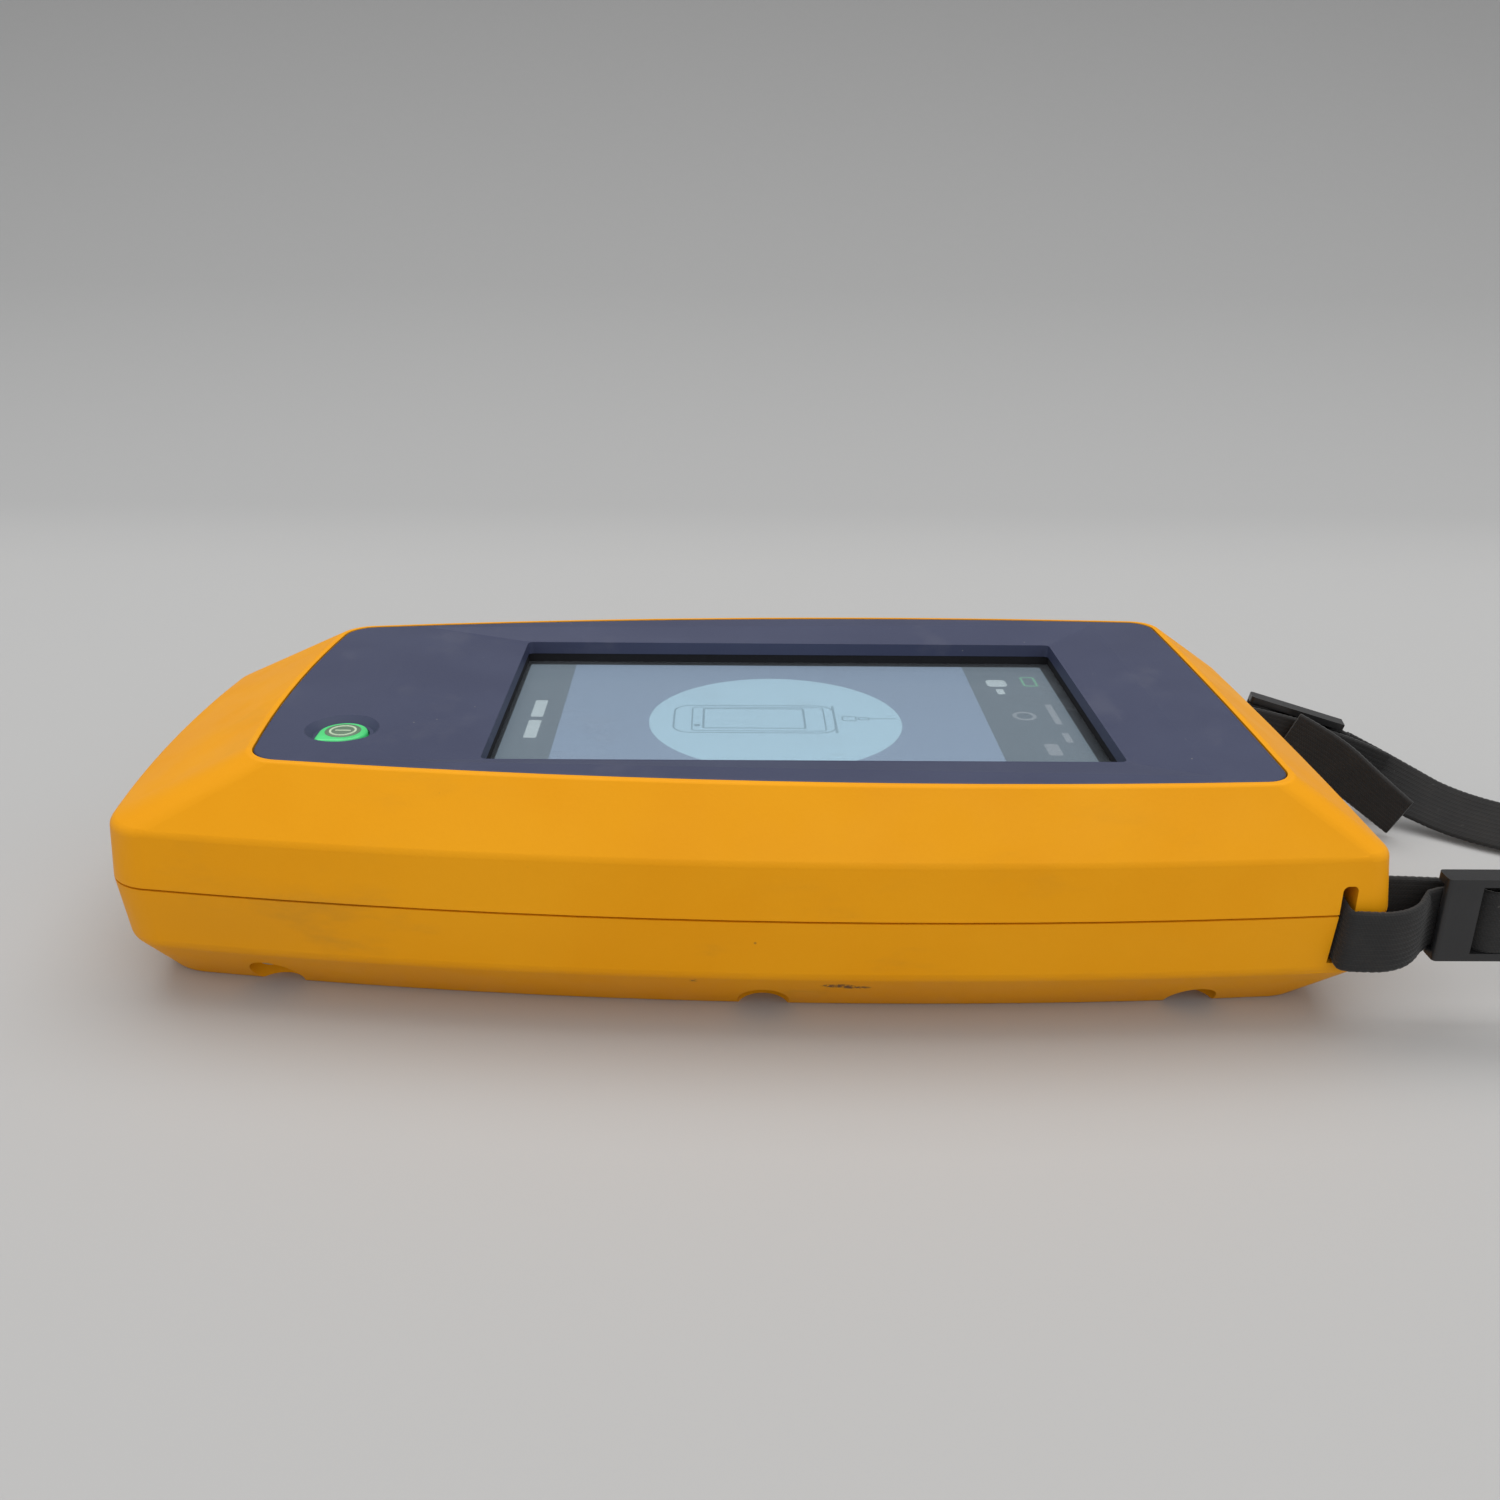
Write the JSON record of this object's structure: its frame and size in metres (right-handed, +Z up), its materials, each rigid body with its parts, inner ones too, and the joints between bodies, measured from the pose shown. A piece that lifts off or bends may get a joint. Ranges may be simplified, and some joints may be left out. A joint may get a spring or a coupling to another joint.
{
  "type": "handheld network cable tester",
  "caption": "Handheld network cable tester in a two-shell moulded case, with a recessed touch screen, a sprung power button, a network socket and a webbing wrist strap.",
  "frame": {"origin": "on the resting surface, in the middle of the case's own box, the strap left out", "axes": "+X along the case towards its top end with the network socket and the strap; -Y is the case's right side as a user holds it; +Z up, out of the screen"},
  "size_m": [0.3269, 0.1023, 0.0406],
  "materials": {
    "case_yellow": "moulded, fine grained yellow plastic shell",
    "faceplate_slate": "moulded dark slate-blue faceplate, satin",
    "seal_black": "soft black seal and foam",
    "screen_glass": "clear touch panel",
    "lcd_grey": "colour display panel",
    "steel": "plated steel stampings and screws",
    "brass": "knurled brass",
    "button_green": "translucent green button cap",
    "board_green": "solder-masked glass fibre board",
    "part_black": "black moulded component plastic",
    "flex_amber": "amber film ribbon",
    "contact_gold": "gold-plated contacts",
    "battery_wrap": "shrink-wrapped lithium-ion pack",
    "lead_red": "insulated wire",
    "light_white": "small light-emitting components",
    "webbing_black": "woven black polyester webbing",
    "buckle_black": "moulded black acetal"
  },
  "bodies": {
    "case": {"bottom_case": "case_yellow", "top_case": "case_yellow", "case_gasket": "seal_black", "bezel_faceplate": "faceplate_slate", "screen_gasket": "seal_black", "touch_panel": "screen_glass", "lcd_panel": "lcd_grey", "backlight_tray": "steel", "display_bracket": "steel", "display_screws": "steel", "display_flex": "flex_amber", "display_connector": "part_black", "power_switch": "part_black", "button_board": "board_green", "button_board_screws": "steel", "button_lights": "light_white", "main_board": "board_green", "processor_shield": "steel", "board_chips": "part_black", "network_transformer": "part_black", "rj45_shield": "steel", "rj45_housing": "part_black", "rj45_contacts": "contact_gold", "usb_a_shell": "steel", "usb_a_tongue": "part_black", "usb_small_shell": "steel", "usb_small_tongue": "part_black", "board_screws": "steel", "battery_pack": "battery_wrap", "battery_pads": "seal_black", "battery_connector": "part_black", "battery_lead": "lead_red", "case_screws": "steel", "threaded_inserts": "brass", "strap_buckle_right": "buckle_black", "strap_loop_right": "webbing_black", "strap_buckle_left": "buckle_black", "strap_loop_left": "webbing_black", "wrist_strap": "webbing_black", "strap_tail": "webbing_black"},
    "power_button": {"power_button_cap": "button_green", "switch_plunger": "part_black"}
  },
  "joints": [
    {"name": "power_button_press", "type": "slide", "parent": "case", "child": "power_button", "axis": [0, 0, -1], "range_m": [0, 0.0005], "stiffness_N_per_m": 3000, "springref_m": -0.0001}
  ]
}
